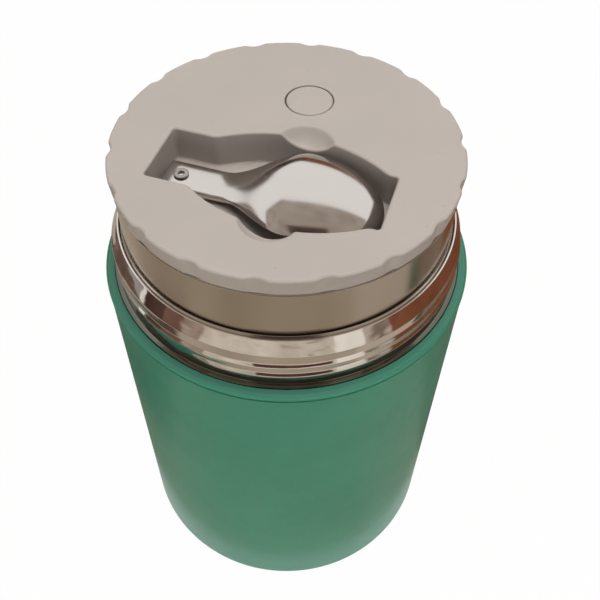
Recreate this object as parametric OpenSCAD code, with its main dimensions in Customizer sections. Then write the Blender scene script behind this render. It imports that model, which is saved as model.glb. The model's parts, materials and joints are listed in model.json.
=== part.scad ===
// Insulated food jar: a double-walled steel jar, a screw-in lid with a vent button,
// and a folding spoon stowed in the lid.
// Millimetres, +Z up, origin at the centre of the foot. +X runs along the spoon, to its tip.

/* [Jar] */
// Outside diameter of the painted body
body_d = 110.2; // [108:0.1:124]
// Height of the neck's lip above the foot
jar_h = 147.1; // [135:0.1:200]
// Wall of the outer shell, the base and the neck
steel_t = 0.8; // [0.6:0.1:1]
// Wall of the food vessel
liner_t = 0.6; // [0.5:0.1:0.8]
// Vacuum space between the vessel and the shell
vacuum_gap = 4.2; // [3:0.1:5]
// Height of the vessel's floor above the foot
floor_z = 9; // [9:0.5:16]
// Inside corner radius of the vessel's floor
floor_round = 14; // [8:1:20]
// Radius of the foot's outside edge
foot_round = 3.5; // [2:0.5:6]
// Width of the flat ring that the jar stands on
foot_w = 7.5; // [5:0.5:10]
// Depth of the panel in the base
base_recess = 2; // [1:0.5:3]

/* [Shoulder] */
// From the neck's lip down to the painted top edge
shoulder_drop = 16.5; // [15:0.1:22]
// From the painted top edge down to the groove
groove_drop = 2.1; // [2:0.1:5]
// Depth of the groove
groove_depth = 0.5; // [0.3:0.05:0.7]
// Width of the groove at its floor
groove_w = 0.5; // [0.3:0.05:0.6]
// How far the shoulder above the groove stands out over the body
shoulder_over = 0.2; // [0:0.05:0.5]
// Width of the shoulder's top ledge, from its side to the collar
ledge_w = 2.9; // [2:0.05:3.5]
// Rounding of the shoulder's top edge
shoulder_round = 1.5; // [0.8:0.1:1.5]

/* [Neck] */
// Gap between the neck and the vessel's wall inside it
neck_gap = 0.2; // [0.1:0.05:0.3]
// How far the collar at the neck's foot flares out
collar_step = 1.4; // [1:0.1:1.6]
// Height of the flared collar above the painted edge
collar_h = 1.3; // [1:0.1:2]
// Height of the collar's outer edge above the painted edge
collar_edge = 0.3; // [0.2:0.1:0.5]
// Height of the taper between the neck's straight wall and its lip
taper_h = 2.6; // [2:0.1:4]
// Rounding of the lip, inside and out
lip_edge = 0.3; // [0.2:0.05:0.5]
// Depth below the lip of the seat for the lid's seal
seat_depth = 23.5; // [22:0.5:30]
// Width of the seat
seat_w = 2.4; // [2:0.1:3]
// Height of the seat's slope
seat_rise = 1.6; // [1.2:0.1:2]

/* [Lid] */
// How far the lid's top face stands out over the steel band, on the radius
rim_over = 0.8; // [0.6:0.1:2]
// Thickness of the lid's rim
lid_t = 5.6; // [5:0.1:8]
// How much smaller the rim is at its underside, on the radius
lid_flare = 0.6; // [0.3:0.05:0.7]
// Rounding of the rim's top edge
lid_edge = 0.7; // [0.3:0.1:1]
// Number of scallops round the rim
scallops = 18; // [12:1:24]
// Radius of each scallop
scallop_r = 5; // [3:0.5:6]
// Depth of each scallop
scallop_depth = 1; // [0.5:0.1:1.2]
// Height of the rim's underside above the neck's lip
band_h = 17.6; // [14:0.1:20]
// Open joint between the rim and the steel band
band_joint = 0.5; // [0.2:0.1:1]
// Wall of the steel band
band_t = 0.6; // [0.4:0.1:0.8]
// How far the band reaches below the lip
band_in = 3.9; // [2:0.1:6]
// Gap between the plug and the mouth, where the threads meet
plug_gap = 1.7; // [1.5:0.1:2]
// Wall of the plug
plug_t = 2.5; // [1.8:0.1:3]
// Thickness of the web that the screws hold
web_t = 2; // [1.5:0.1:3]
// Thickness of the lid's food-side cap
cap_t = 3; // [2.6:0.1:4]
// Thickness of the cap's flange under the seal
flange_t = 0.8; // [0.6:0.1:1.2]

/* [Spoon recess] */
// Distance of the recess's centre line from the lid's centre
recess_off = 12.9; // [12:0.1:13.5]
// Land between the recess's near corners and the plug's wall
recess_land = 4.35; // [2:0.05:8]
// Space beside the spoon's neck, on each side
neck_space = 4.75; // [3.5:0.05:6]
// Space beside the spoon's bowl, on each side
bowl_space = 1.7; // [1.4:0.1:2.5]
// Space between the spoon's lowest rivet head and the recess's floor
floor_space = 0.3; // [0.3:0.1:1]
// Half length of the pocket's curved sides
pocket_half = 24; // [23:0.5:25]
// How far the pocket's centre lies behind the bowl's widest place
pocket_lag = 3.1; // [2:0.1:4]
// Wall round the recess under the rim
tub_t = 1.8; // [1.4:0.1:2]
// Floor under the recess
tub_floor = 2; // [1.5:0.1:2.5]
// Radius of each finger scoop at the lid's top
scoop_r = 8; // [6:0.5:9]
// Depth of each finger scoop
scoop_depth = 5; // [3:0.5:5.5]
// How far the scoops' centres lie ahead of the pocket's centre
scoop_lead = -0.2; // [-1:0.1:1.5]
// How far each scoop's centre lies in from the pocket's side
scoop_in = 3; // [2:0.1:4]

/* [Vent] */
// Diameter of the button
button_d = 13.4; // [12:0.1:15]
// Gap round the button
button_gap = 0.3; // [0.2:0.05:0.4]
// Distance of the button from the lid's centre
button_off = 20.5; // [20:0.1:22]
// Travel of the button
button_travel = 2.5; // [1.5:0.1:3]
// Space left under the pressed button
well_space = 1.7; // [1:0.1:2]
// Diameter of the stem
stem_d = 3; // [2.4:0.1:3.4]
// Diameter of the vent hole in the food-side cap
vent_d = 6.4; // [5.5:0.1:7.5]
// Diameter of the valve disc
valve_d = 12; // [10:0.5:14]
// Thickness of the valve disc
valve_t = 1.8; // [1.4:0.1:2.2]
// Diameter of the spring's wire
spring_wire = 0.7; // [0.5:0.1:0.8]
// Mean diameter of the spring's coil
spring_d = 8; // [7.4:0.1:8.4]

/* [Spoon] */
// Height of the bowl's crown above the lid's top
crown_over = 1.3; // [-1:0.1:2]
// Thickness of the neck plate
neck_t = 1.2; // [1:0.1:1.3]
// Width of the neck plate
neck_w = 10.4; // [9:0.1:11]
// From the rivet to the square end of the neck plate
neck_end = 4.9; // [4:0.1:6]
// Gap between the neck plate and the recess's end
end_gap = 0.85; // [0.5:0.05:2]
// Gap between the bowl's tip and the recess's other end
tip_gap = 1.05; // [0.8:0.05:3]
// Width of the bowl
bowl_w = 31.6; // [28:0.1:32]
// From the rivet to where the neck begins to widen
swell_x = 12; // [11:0.5:16]
// Length of the bowl's rounded end, from its widest place to the tip
tip_l = 22.7; // [18:0.1:24]
// How far the rim of the bowl rises over the neck plate at its widest
rim_rise = 3.6; // [2:0.1:4]
// Height of the bowl's crown over its rim
bowl_h = 4.8; // [4:0.1:6]
// Fullness of the bowl's back: 2 is a plain arch, more is flatter on top and steeper beside
bowl_full = 2.6; // [2:0.1:3.5]
// Thickness of the bowl
bowl_t = 1; // [0.9:0.05:1.1]
// Thickness of the washer
washer_t = 0.4; // [0.3:0.05:0.5]
// Thickness of the handle
handle_t = 1.2; // [1:0.1:1.3]
// How much shorter the handle is than the bowl
handle_short = 10.7; // [9:0.1:16]
// Width of the handle at its tip
handle_w = 10.4; // [9:0.1:10.8]
// Diameter of the rivet's shank
rivet_d = 2.8; // [2.4:0.1:3]
// Diameter of the hole through the rivet
rivet_hole = 1.6; // [1:0.1:1.8]
// Clearance of the handle on the rivet, on the radius
rivet_fit = 0.05; // [0.02:0.01:0.1]

/* [Hidden] */
$fn = 96;

body_r = body_d / 2;
shoulder_r = body_r + shoulder_over;
collar_r = shoulder_r - ledge_w;
neck_r = collar_r - collar_step;
neck_in = neck_r - steel_t;
mouth_r = neck_in - neck_gap - liner_t;
weld_gap = 0.1;
sink = 0.1;
shell_open = collar_r + weld_gap;
shell_top = jar_h - shoulder_drop;
groove_z = shell_top - groove_drop;
shoulder_fillet = min(shoulder_round, ledge_w - weld_gap, groove_drop - groove_w);
weld_h = 1;
vessel_top = jar_h - taper_h;

cavity_r = body_r - steel_t - vacuum_gap - liner_t;
seat_low = jar_h - seat_depth;
seat_r = mouth_r - seat_w;
seat_top = seat_low + seat_rise;
waist_h = 1;
flare_h = 4.9;
foot_in = body_r - foot_round - foot_w;
base_z = steel_t + base_recess;
base_slope = 1.8;
base_lap = 3.5;
base_gap = 1.4;
vent_pin_r = 1;
cap_r = 6;
cap_h = 0.9;
cap_edge = 0.6;
getter_r = 4.5;
getter_h = 2.2;
getter_x = 18;

rim_z = jar_h + band_h;
lid_z = rim_z + lid_t;
plug_r = mouth_r - plug_gap;
band_r = plug_r;
lid_r = band_r + rim_over;
rim_r = lid_r - lid_flare;
band_z = jar_h - band_in;
band_fit = 0.1;
plug_upper_r = band_r - band_t - band_fit;
plug_in = plug_r - plug_t;
cap_z = seat_low + 0.2;
skirt_z = cap_z + cap_t;

rivet_head = 0.5;
spoon_drop = bowl_h + rim_rise - crown_over - sink;
recess_depth = spoon_drop + neck_t + washer_t + handle_t + rivet_head + floor_space;
recess_w = neck_w + 2 * neck_space;
corner_y = recess_off + recess_w / 2 + tub_t;
recess_l = 2 * (sqrt(plug_in * plug_in - corner_y * corner_y) - tub_t - recess_land);
rivet_x = recess_l / 2 - end_gap - neck_end;
bowl_l = recess_l - end_gap - neck_end - tip_gap;
wide_x = bowl_l - tip_l;
handle_l = bowl_l - handle_short;
pocket_w = bowl_w + 2 * bowl_space;
pocket_x = wide_x - rivet_x - pocket_lag;
scoop_x = pocket_x + scoop_lead;
scoop_off = pocket_w / 2 - scoop_in;

button_h = 5.8;
well_depth = button_h + button_travel + well_space;
well_wall = 1.8;
well_floor = 2;
well_r = button_d / 2 + button_gap;
well_z = lid_z - well_depth;

recess_z = lid_z - recess_depth;
tub_z = recess_z - tub_floor;
web_gap = 0.4;
web_top = min(tub_z, well_z - well_floor) - web_gap;
web_z = web_top - web_t;
spigot_h = 3;
spigot_t = 1.5;
spigot_r = plug_in - 0.2;
gasket_lift = 0.36;
gasket_in = plug_in - 0.6;
flange_r = seat_r - 0.6;
foam_gap = 3;

boss_at = [20, 160, 250, 290];
boss_r = 3.5;
boss_gap = 1.5;
boss_ring = plug_in - boss_r - boss_gap;
screw_r = 1.25;
screw_head_r = 2.4;
screw_head_h = 1.6;
screw_bite = 6;
screw_spare = 0.5;
screw_slack = 0.2;
socket_r = 1.3;
socket_h = 0.8;

button_top_t = 2;
button_skirt = 1.2;
button_edge = 0.5;
button_boss_r = 2.6;
button_boss_h = 2.8;
stem_r = stem_d / 2;
stem_fit = 0.1;
stem_grip = 1.8;
web_clear = 1.5;
foam_clear = 2.5;
valve_top = cap_z;
clip_t = 0.6;
clip_r = 3;
clip_lip = 0.8;
spring_turns = 5;

spoon_y = -recess_off;
neck_top = lid_z - spoon_drop;
neck_z = neck_top - neck_t;
washer_z = neck_z - washer_t;
handle_z = washer_z - handle_t;
head_over = 0.7;
head_r = rivet_d / 2 + head_over;
head_edge = 0.2;
washer_r = 3.5;
handle_root_r = 5;
bar_in = 0.8;
hang_r = 1.8;

green = [0.27, 0.5, 0.4];
steel = [0.78, 0.76, 0.73];
satin = [0.6, 0.57, 0.52];
grey = [0.74, 0.7, 0.66];
clear_grey = [0.82, 0.82, 0.8];
foam = [0.93, 0.92, 0.88];

// Points along an arc, as [radius from the jar's axis, height].
function arc(c, r, from, to, n = 8) =
  [for (i = [0 : n]) let (a = from + (to - from) * i / n) [c[0] + r * cos(a), c[1] + r * sin(a)]];

// Height at radius r on the seat's slope.
function seat_at(r) = seat_low + (r - seat_r) * seat_rise / seat_w;

// ---- Jar ----

// The painted wall: foot, straight body, groove, and the rounded shoulder above it.
module outer_shell() {
  inner_round = foot_round - steel_t;
  body_in = body_r - steel_t;
  groove_r = body_r - groove_depth;
  throat_in = groove_r - steel_t;
  color(green)
    rotate_extrude()
      polygon(concat(
        [[foot_in, 0]],
        arc([body_r - foot_round, foot_round], foot_round, -90, 0),
        [[body_r, groove_z - groove_w],
         [groove_r, groove_z - groove_w / 2],
         [groove_r, groove_z + groove_w / 2],
         [shoulder_r, groove_z + groove_w]],
        arc([shoulder_r - shoulder_fillet, shell_top - shoulder_fillet], shoulder_fillet, 0, 90),
        [[shell_open, shell_top],
         [shell_open, shell_top - weld_h],
         [throat_in, shell_top - 1.5 * weld_h],
         [throat_in, groove_z - 2 * groove_w],
         [body_in, groove_z - 2 * groove_w - groove_depth]],
        arc([body_r - foot_round, foot_round], inner_round, 0, -90),
        [[foot_in, steel_t]]
      ));
}

// The polished neck: tapered lip, straight land for the cover's thread, and the flared collar.
module neck_ring() {
  low = shell_top - 1.8;
  edge_z = shell_top + collar_edge;
  color(steel)
    rotate_extrude()
      polygon(concat(
        [[collar_r, low],
         [collar_r, edge_z],
         [neck_r, shell_top + collar_h],
         [neck_r, vessel_top]],
        arc([mouth_r + lip_edge, jar_h - lip_edge], lip_edge, 0, 180),
        [[mouth_r, vessel_top],
         [neck_in, vessel_top],
         [neck_in, edge_z],
         [neck_in + collar_step, edge_z - collar_h + collar_edge],
         [neck_in + collar_step, low]]
      ));
}

// The food vessel: mouth, seat for the seal, narrow waist, and the wide cavity below.
module inner_vessel() {
  waist_z = seat_low - waist_h;
  wide_z = waist_z - flare_h;
  corner = [cavity_r - floor_round, floor_z + floor_round];
  color(satin)
    rotate_extrude()
      polygon(concat(
        [[mouth_r, vessel_top], [mouth_r, seat_top], [seat_r, seat_low], [seat_r, waist_z],
         [cavity_r, wide_z]],
        arc(corner, floor_round, 0, -90),
        [[0, floor_z], [0, floor_z - liner_t]],
        arc(corner, floor_round + liner_t, -90, 0),
        [[cavity_r + liner_t, wide_z + liner_t / 2],
         [seat_r + liner_t, waist_z + liner_t / 2],
         [seat_r + liner_t, seat_low - liner_t / 2],
         [mouth_r + liner_t, seat_top - liner_t],
         [mouth_r + liner_t, vessel_top]]
      ));
}

// Pressed disc that closes the shell, with a raised panel and the evacuation hole.
module base_plate() {
  color(satin)
    difference() {
      rotate_extrude()
        polygon([
          [0, base_z], [foot_in - base_gap - base_slope, base_z], [foot_in - base_gap, steel_t],
          [foot_in + base_lap, steel_t], [foot_in + base_lap, 2 * steel_t],
          [foot_in - base_gap + steel_t / 2, 2 * steel_t],
          [foot_in - base_gap + steel_t / 2 - base_slope, base_z + steel_t], [0, base_z + steel_t]
        ]);
      translate([0, 0, base_z - 1])
        cylinder(r = vent_pin_r, h = steel_t + 2);
    }
}

// Small cap over the evacuation hole.
module seal_cap() {
  color(satin)
    rotate_extrude()
      polygon([
        [0, base_z - cap_h], [cap_r - cap_edge, base_z - cap_h],
        [cap_r, base_z - cap_h + cap_edge], [cap_r, base_z], [0, base_z]
      ]);
}

// Pellet in the vacuum space that binds the last of the air.
module getter() {
  color([0.35, 0.35, 0.37])
    translate([getter_x, 0, base_z + steel_t]) {
      cylinder(r = getter_r, h = getter_h / 4);
      cylinder(r = 0.8 * getter_r, h = getter_h);
    }
}

// ---- Lid ----

// Outline of the recess: a straight slot with curved sides round the spoon's bowl.
module recess_outline(grow = 0) {
  side_out = pocket_w / 2 - recess_w / 2;
  side_r = (pocket_half * pocket_half + side_out * side_out) / (2 * side_out);
  translate([0, spoon_y]) {
    square([recess_l + 2 * grow, recess_w + 2 * grow], center = true);
    intersection() {
      square([recess_l + 2 * grow, 2 * pocket_w], center = true);
      translate([pocket_x, side_r - pocket_w / 2])
        circle(r = side_r + grow, $fn = 180);
      translate([pocket_x, pocket_w / 2 - side_r])
        circle(r = side_r + grow, $fn = 180);
    }
  }
}

// Ball that cuts one finger scoop; s is the side of the recess that it lies on.
module finger_scoop(s) {
  ball_r = (scoop_r * scoop_r + scoop_depth * scoop_depth) / (2 * scoop_depth);
  translate([scoop_x, spoon_y + s * scoop_off, lid_z + ball_r - scoop_depth])
    sphere(r = ball_r);
}

// The grip: flared rim with a rounded top edge, scalloped all round.
module lid_rim() {
  difference() {
    rotate_extrude()
      polygon(concat(
        [[0, rim_z], [rim_r, rim_z]],
        arc([lid_r - lid_edge, lid_z - lid_edge], lid_edge, 0, 90, 6),
        [[0, lid_z]]
      ));
    for (i = [0 : scallops - 1])
      rotate([0, 0, i * 360 / scallops])
        translate([lid_r - scallop_depth + scallop_r, 0, rim_z - 1])
          cylinder(r = scallop_r, h = lid_t + 2);
  }
}

// The moulding: rim, tub round the recess, button well and screw bosses under it.
module lid_top() {
  color(grey)
    difference() {
      union() {
        lid_rim();
        translate([0, 0, tub_z])
          linear_extrude(rim_z - tub_z + 1)
            recess_outline(tub_t);
        translate([0, button_off, well_z - well_floor])
          cylinder(r = well_r + well_wall, h = rim_z - well_z + well_floor + 1);
        for (a = boss_at)
          rotate([0, 0, a])
            translate([boss_ring, 0, web_top])
              cylinder(r = boss_r, h = rim_z - web_top + 1);
      }
      translate([0, 0, recess_z])
        linear_extrude(recess_depth + 1)
          recess_outline();
      for (s = [-1, 1])
        finger_scoop(s);
      translate([0, button_off, well_z])
        cylinder(r = well_r, h = well_depth + 1);
      translate([0, button_off, well_z - well_floor - 1])
        cylinder(r = stem_r + stem_fit, h = well_floor + 2);
      for (a = boss_at)
        rotate([0, 0, a])
          translate([boss_ring, 0, web_top - 1])
            cylinder(r = screw_r, h = screw_bite + 1);
    }
}

// Steel band between the rim and the neck, standing on the plug's shoulder.
module lid_sleeve() {
  color(satin)
    translate([0, 0, band_z])
      difference() {
        cylinder(r = band_r, h = rim_z - band_joint - band_z);
        translate([0, 0, -1])
          cylinder(r = band_r - band_t, h = rim_z - band_z + 2);
      }
}

// The plug: skirt, web for the screws, and the land that carries the lid's thread.
module lid_plug() {
  color(clear_grey)
    difference() {
      union() {
        translate([0, 0, skirt_z])
          cylinder(r = plug_r, h = band_z - skirt_z);
        translate([0, 0, band_z])
          cylinder(r = plug_upper_r, h = rim_z - band_z);
      }
      translate([0, 0, skirt_z - 1])
        cylinder(r = plug_in, h = web_z - skirt_z + 1);
      translate([0, 0, web_top])
        cylinder(r = plug_in, h = rim_z - web_top + 1);
      translate([0, button_off, web_z - 1])
        cylinder(r = stem_r + web_clear, h = web_t + 2);
      for (a = boss_at)
        rotate([0, 0, a])
          translate([boss_ring, 0, web_z - 1])
            cylinder(r = screw_r + screw_slack, h = web_t + 2);
    }
}

// Food-side cap: flange under the seal, spigot up into the plug, and the vent hole.
module lid_base() {
  color(clear_grey)
    difference() {
      rotate_extrude()
        polygon([
          [0, cap_z], [flange_r - 0.4, cap_z], [flange_r, cap_z + 0.4], [flange_r, cap_z + flange_t],
          [gasket_in, cap_z + flange_t], [gasket_in, skirt_z], [spigot_r, skirt_z],
          [spigot_r, skirt_z + spigot_h], [spigot_r - spigot_t, skirt_z + spigot_h],
          [spigot_r - spigot_t, skirt_z], [0, skirt_z]
        ]);
      translate([0, button_off, cap_z - 1])
        cylinder(r = vent_d / 2, h = cap_t + 2);
    }
}

// Insulation block inside the plug.
module lid_foam() {
  color(foam)
    difference() {
      translate([0, 0, skirt_z])
        cylinder(r = spigot_r - spigot_t - 0.3, h = web_z - foam_gap - skirt_z);
      translate([0, button_off, skirt_z - 1])
        cylinder(r = stem_r + foam_clear, h = web_z - skirt_z + 2);
    }
}

// Silicone seal: held between flange and skirt, its lip follows the seat's slope.
module lid_gasket() {
  lip_low = seat_r + 0.2;
  lip_out = mouth_r - 0.4;
  color([0.88, 0.87, 0.84])
    rotate_extrude()
      polygon([
        [gasket_in, skirt_z], [gasket_in, cap_z + flange_t], [flange_r + 0.2, cap_z + flange_t],
        [lip_low, seat_at(lip_low) + gasket_lift], [lip_out, seat_at(lip_out) + gasket_lift],
        [lip_out, seat_at(lip_out) + gasket_lift + 0.8], [plug_r, skirt_z]
      ]);
}

// Four screws up through the web into the bosses.
module lid_screws() {
  color(steel)
    for (a = boss_at)
      rotate([0, 0, a])
        translate([boss_ring, 0, web_z - screw_head_h]) {
          difference() {
            cylinder(r = screw_head_r, h = screw_head_h);
            translate([0, 0, -1])
              cylinder(r = socket_r, h = socket_h + 1, $fn = 6);
          }
          translate([0, 0, screw_head_h])
            cylinder(r = screw_r, h = web_t + screw_bite - screw_spare);
        }
}

// ---- Vent ----

// Push button: cap with a skirt round the spring and a boss that grips the stem.
module vent_button() {
  button_r = button_d / 2;
  color(grey)
    translate([0, button_off, 0])
      rotate_extrude()
        polygon(concat(
          [[0, lid_z]],
          arc([button_r - button_edge, lid_z - button_edge], button_edge, 90, 0, 4),
          [[button_r, lid_z - button_h], [button_r - button_skirt, lid_z - button_h],
           [button_r - button_skirt, lid_z - button_top_t], [button_boss_r, lid_z - button_top_t],
           [button_boss_r, lid_z - button_top_t - button_boss_h],
           [stem_r, lid_z - button_top_t - button_boss_h],
           [stem_r, lid_z - button_top_t - button_boss_h + stem_grip],
           [0, lid_z - button_top_t - button_boss_h + stem_grip]]
        ));
}

// Rod from the button down through the lid to the valve.
module vent_stem() {
  top = lid_z - button_top_t - button_boss_h + stem_grip;
  low = valve_top - valve_t - clip_t - clip_lip;
  color(steel)
    translate([0, button_off, low])
      difference() {
        cylinder(r = stem_r, h = top - low);
        translate([0, 0, clip_lip])
          difference() {
            cylinder(r = stem_r + 1, h = clip_t);
            cylinder(r = stem_r - 0.4, h = clip_t);
          }
      }
}

// Points round the spring's wire at a given turn of its coil.
function spring_ring(turn, low, high, sides) =
  let (a = 360 * turn, z = low + (high - low) * turn / spring_turns)
    [for (k = [0 : sides - 1])
      let (b = 360 * k / sides, r = spring_d / 2 + spring_wire / 2 * cos(b))
        [r * cos(a), r * sin(a), z + spring_wire / 2 * sin(b)]];

// Return spring between the well's floor and the button.
module vent_spring() {
  sides = 6;
  steps = 16;
  count = spring_turns * steps;
  low = well_z + spring_wire / 2;
  high = lid_z - button_top_t - spring_wire / 2;
  points = [for (i = [0 : count]) each spring_ring(i / steps, low, high, sides)];
  walls = [for (i = [0 : count - 1], k = [0 : sides - 1])
    let (n = (k + 1) % sides)
      [i * sides + k, (i + 1) * sides + k, (i + 1) * sides + n, i * sides + n]];
  ends = [[for (k = [0 : sides - 1]) k], [for (k = [sides - 1 : -1 : 0]) count * sides + k]];
  color(steel)
    translate([0, button_off, 0])
      polyhedron(points, concat(walls, ends), convexity = 10);
}

// Silicone valve disc that closes the vent hole from below.
module vent_seal() {
  color([0.88, 0.87, 0.84])
    translate([0, button_off, valve_top - valve_t])
      difference() {
        cylinder(r = valve_d / 2, h = valve_t);
        translate([0, 0, -1])
          cylinder(r = stem_r, h = valve_t + 2);
      }
}

// Clip in the stem's groove under the valve disc.
module vent_clip() {
  color(steel)
    translate([0, button_off, valve_top - valve_t - clip_t])
      difference() {
        cylinder(r = clip_r, h = clip_t);
        translate([0, 0, -1])
          cylinder(r = stem_r - 0.4, h = clip_t + 2);
        translate([0, -stem_r + 0.4, -1])
          cube([clip_r + 1, 2 * stem_r - 0.8, clip_t + 2]);
      }
}

// ---- Spoon ----

// Smooth step from 0 to 1.
function ease(t) = let (u = min(max(t, 0), 1)) u * u * (3 - 2 * u);

// Half width and crown height of the spoon, x from the rivet. Both swell out of the neck
// plate and close in a half ellipse at the tip.
function tip_share(x) = sqrt(max(0, 1 - pow(max(0, x - wide_x) / (bowl_l - wide_x), 2)));
function half_w(x) =
  (neck_w / 2 + (bowl_w / 2 - neck_w / 2) * ease((x - swell_x) / (wide_x - swell_x))) * tip_share(x);
function crown(x) = bowl_h * ease((x - swell_x + 2) / (wide_x - swell_x)) * pow(tip_share(x), 1.5);
function rim_up(x) = rim_rise * ease((x - swell_x + 2) / (wide_x - swell_x)) * tip_share(x);

// One row of points across the bowl, drop below the outer face.
function bowl_row(x, across, drop) =
  [for (j = [0 : across])
    let (v = 2 * j / across - 1)
      [x, v * half_w(x), neck_top - sink - drop + rim_up(x) + crown(x) * (1 - pow(abs(v), bowl_full))]];

// The bowl as a loft of shallow arches, open side down.
module bowl_loft() {
  across = 14;
  swell_rows = 12;
  tip_rows = 8;
  start = neck_end + 1.6;
  stations = concat(
    [for (i = [0 : swell_rows]) start + (wide_x - start) * i / swell_rows],
    [for (i = [1 : tip_rows]) wide_x + (bowl_l - wide_x) * sin(84 * i / tip_rows)]
  );
  rows = len(stations);
  row_n = across + 1;
  top = [for (x = stations) each bowl_row(x, across, 0)];
  low = [for (x = stations) each bowl_row(x, across, bowl_t)];
  lift = rows * row_n;
  faces = concat(
    [for (i = [0 : rows - 2], j = [0 : across - 1])
      let (p = i * row_n + j) [p, p + 1, p + row_n + 1]],
    [for (i = [0 : rows - 2], j = [0 : across - 1])
      let (p = i * row_n + j) [p, p + row_n + 1, p + row_n]],
    [for (i = [0 : rows - 2], j = [0 : across - 1])
      let (p = lift + i * row_n + j) [p, p + row_n + 1, p + 1]],
    [for (i = [0 : rows - 2], j = [0 : across - 1])
      let (p = lift + i * row_n + j) [p, p + row_n, p + row_n + 1]],
    [for (i = [0 : rows - 2], j = [0, across])
      let (p = i * row_n + j, q = p + row_n)
        j == 0 ? [p, q, q + lift, p + lift] : [p, p + lift, q + lift, q]],
    [for (j = [0 : across - 1]) [j, j + lift, j + 1 + lift, j + 1]],
    [for (j = [0 : across - 1])
      let (p = (rows - 1) * row_n + j) [p, p + 1, p + 1 + lift, p + lift]]
  );
  polyhedron(concat(top, low), faces, convexity = 6);
}

// Bowl and neck plate in one piece, crown up, with the rivet's hole.
module spoon_bowl() {
  plate_l = 2 * neck_end + 2;
  color(steel)
    translate([-rivet_x, spoon_y, 0])
      difference() {
        union() {
          translate([-neck_end, -neck_w / 2, neck_z])
            cube([plate_l, neck_w, neck_t]);
          bowl_loft();
        }
        translate([0, 0, neck_z - 1])
          cylinder(r = rivet_d / 2, h = neck_t + 2);
      }
}

// Flat handle: root disc, a slightly narrower bar, and a tip disc with a hole to hang it by.
module spoon_handle() {
  tip_r = handle_w / 2;
  tip_x = handle_l - tip_r;
  bar_w = handle_w - 2 * bar_in;
  color(steel)
    translate([-rivet_x, spoon_y, handle_z])
      difference() {
        linear_extrude(handle_t)
          difference() {
            union() {
              circle(r = handle_root_r);
              translate([tip_x, 0])
                circle(r = tip_r);
              translate([0, -bar_w / 2])
                square([tip_x, bar_w]);
            }
            translate([tip_x, 0])
              circle(r = hang_r);
          }
        translate([0, 0, -1])
          cylinder(r = rivet_d / 2 + rivet_fit, h = handle_t + 2);
      }
}

// Hollow rivet: shank through both plates, with a rolled head above and below.
module spoon_rivet() {
  color(steel)
    translate([-rivet_x, spoon_y, 0])
      rotate_extrude()
        polygon([
          [rivet_hole / 2, handle_z - rivet_head], [head_r, handle_z - rivet_head], [head_r, handle_z],
          [rivet_d / 2, handle_z], [rivet_d / 2, neck_top], [head_r, neck_top],
          [head_r - head_edge, neck_top + rivet_head], [rivet_hole / 2, neck_top + rivet_head]
        ]);
}

// Washer that keeps the handle clear of the neck plate.
module spoon_washer() {
  color([0.85, 0.85, 0.85])
    translate([-rivet_x, spoon_y, washer_z])
      difference() {
        cylinder(r = washer_r, h = washer_t);
        translate([0, 0, -1])
          cylinder(r = rivet_d / 2, h = washer_t + 2);
      }
}

outer_shell();
neck_ring();
inner_vessel();
base_plate();
seal_cap();
getter();
lid_top();
lid_sleeve();
lid_plug();
lid_base();
lid_foam();
lid_gasket();
lid_screws();
vent_button();
vent_stem();
vent_spring();
vent_seal();
vent_clip();
spoon_bowl();
spoon_handle();
spoon_rivet();
spoon_washer();
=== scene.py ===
# %% [markdown]
# # An insulated food jar with a spoon in its lid
# The jar's solids come from the CAD frame: every piece built here lies in that same frame, so
# nothing is fitted by eye. Most of the object is turned sheet steel and one scalloped moulding,
# so the shapes below are profiles carried round an axis or along an outline, worked out as whole
# numpy arrays. Modelling by hand with modifiers would do as well, but a formula keeps each
# radius where the maker put it.

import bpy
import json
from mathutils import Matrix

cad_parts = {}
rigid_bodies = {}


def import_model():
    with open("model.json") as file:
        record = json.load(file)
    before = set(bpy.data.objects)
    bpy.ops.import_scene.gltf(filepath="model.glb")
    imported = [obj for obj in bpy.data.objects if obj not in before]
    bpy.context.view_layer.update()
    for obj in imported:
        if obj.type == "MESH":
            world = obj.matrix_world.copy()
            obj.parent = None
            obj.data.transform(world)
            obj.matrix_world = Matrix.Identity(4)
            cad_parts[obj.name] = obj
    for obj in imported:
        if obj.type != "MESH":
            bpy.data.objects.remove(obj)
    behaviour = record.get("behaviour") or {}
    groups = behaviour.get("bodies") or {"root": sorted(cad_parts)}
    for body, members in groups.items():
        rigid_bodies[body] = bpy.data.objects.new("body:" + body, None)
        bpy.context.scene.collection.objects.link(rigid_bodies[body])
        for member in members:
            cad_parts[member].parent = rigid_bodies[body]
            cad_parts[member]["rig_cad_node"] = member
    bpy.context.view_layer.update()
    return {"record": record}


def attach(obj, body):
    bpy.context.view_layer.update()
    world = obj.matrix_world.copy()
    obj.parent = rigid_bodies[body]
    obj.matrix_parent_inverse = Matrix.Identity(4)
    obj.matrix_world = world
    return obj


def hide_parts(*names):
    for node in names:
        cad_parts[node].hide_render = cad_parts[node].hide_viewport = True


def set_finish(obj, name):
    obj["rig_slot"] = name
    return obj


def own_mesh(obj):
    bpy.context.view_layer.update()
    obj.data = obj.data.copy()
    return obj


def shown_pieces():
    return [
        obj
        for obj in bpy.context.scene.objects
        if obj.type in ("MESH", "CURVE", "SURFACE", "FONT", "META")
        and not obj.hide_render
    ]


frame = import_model()

import json
import math

import bmesh
import bpy
import numpy as np
from mathutils import Vector
from mathutils.geometry import delaunay_2d_cdt

# %% [markdown]
# ## From arrays to pieces
# A piece is collected as strips of quads between closed rings, and flat regions filled with
# triangles between rings. Where a strip and a fill share a ring they share its points exactly,
# so welding closes the piece, and its faces can then be turned outwards in one go. All lengths
# are millimetres until the mesh is made.


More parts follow.
